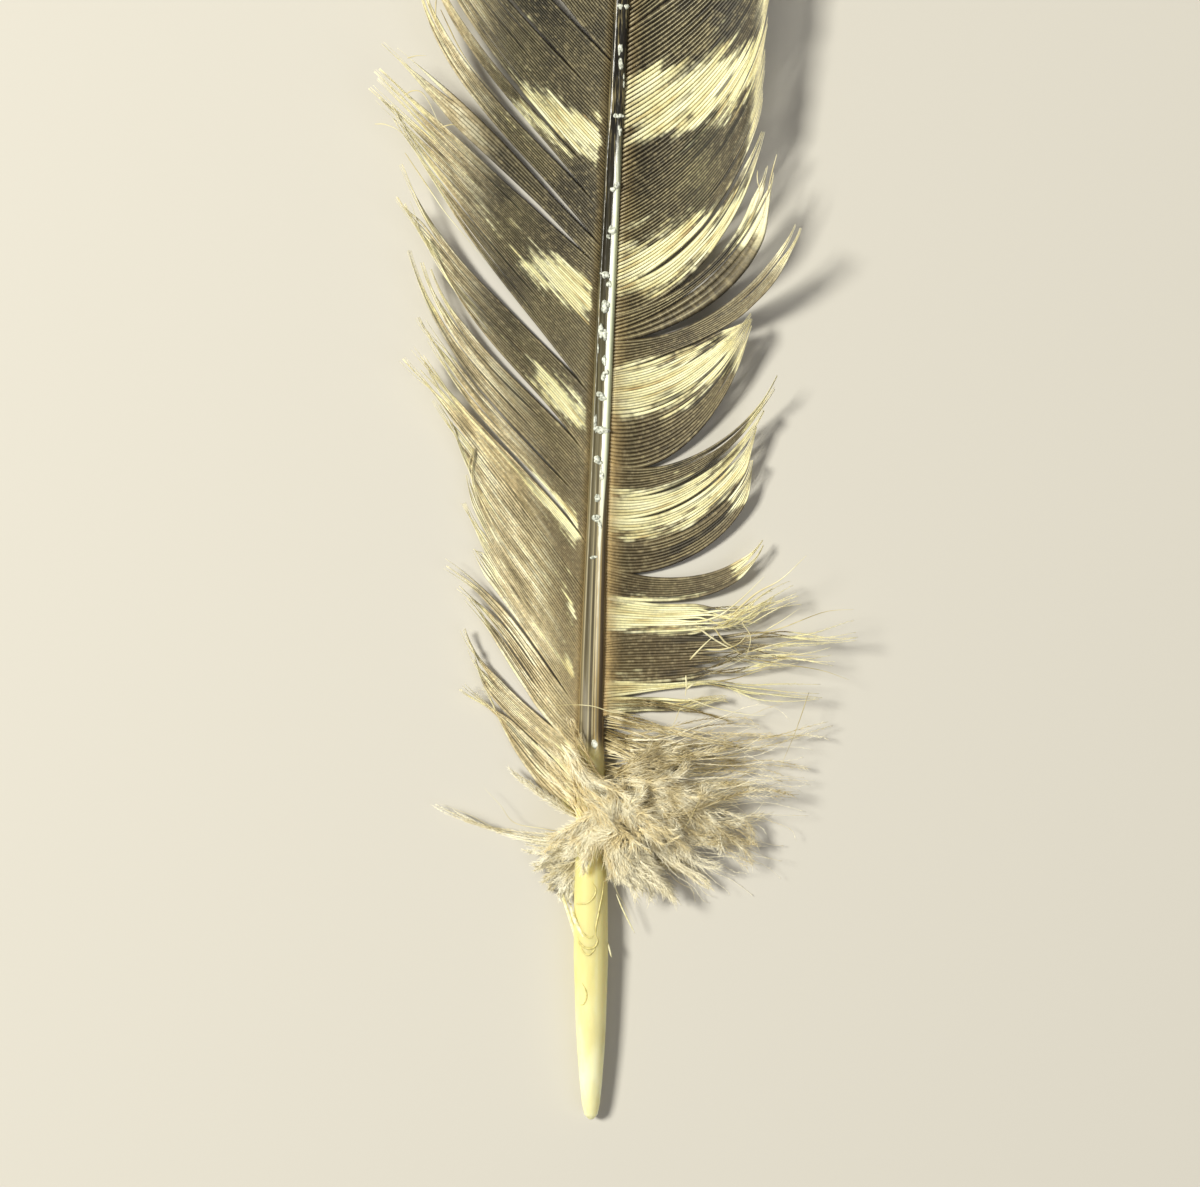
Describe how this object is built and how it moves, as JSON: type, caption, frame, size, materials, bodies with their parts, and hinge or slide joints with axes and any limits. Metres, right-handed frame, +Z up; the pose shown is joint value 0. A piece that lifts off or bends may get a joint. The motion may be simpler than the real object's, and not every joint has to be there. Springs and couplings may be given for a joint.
{
  "type": "turkey wing feather",
  "caption": "Shed bird wing feather lying with its inner face up: pale bare quill, grooved horn shaft, barred brown and cream vanes split into webs, tufts of down at the base.",
  "frame": {"origin": "on the flat back of the shaft, under the small pit where the bare quill becomes the vaned part", "axes": "+Y along the shaft towards the feather's tip, +X to the right-hand vane, +Z up out of the inner face"},
  "size_m": [0.0797, 0.3, 0.0259],
  "materials": {
    "horn": "glossy horn, matt on the bare quill",
    "vane": "fine barbs, brown with cream bars",
    "down": "soft greyish cream fluff"
  },
  "bodies": {
    "root": {"shaft": "horn", "left_vane_01": "vane", "left_vane_02": "vane", "left_vane_03": "vane", "left_vane_04": "vane", "left_vane_05": "vane", "left_vane_06": "vane", "left_vane_07": "vane", "left_vane_08": "vane", "left_vane_09": "vane", "left_vane_10": "vane", "left_vane_11": "vane", "left_vane_12": "vane", "left_vane_13": "vane", "left_vane_14": "vane", "left_vane_15": "vane", "left_vane_16": "vane", "left_vane_17": "vane", "left_vane_18": "vane", "left_vane_19": "vane", "right_vane_01": "vane", "right_vane_02": "vane", "right_vane_03": "vane", "right_vane_04": "vane", "right_vane_05": "vane", "right_vane_06": "vane", "right_vane_07": "vane", "right_vane_08": "vane", "right_vane_09": "vane", "right_vane_10": "vane", "right_vane_11": "vane", "right_vane_12": "vane", "right_vane_13": "vane", "right_vane_14": "vane", "right_vane_15": "vane", "right_vane_16": "vane", "right_vane_17": "vane", "right_vane_18": "vane", "down_left": "down", "down_right": "down", "afterfeather": "down"}
  },
  "joints": []
}
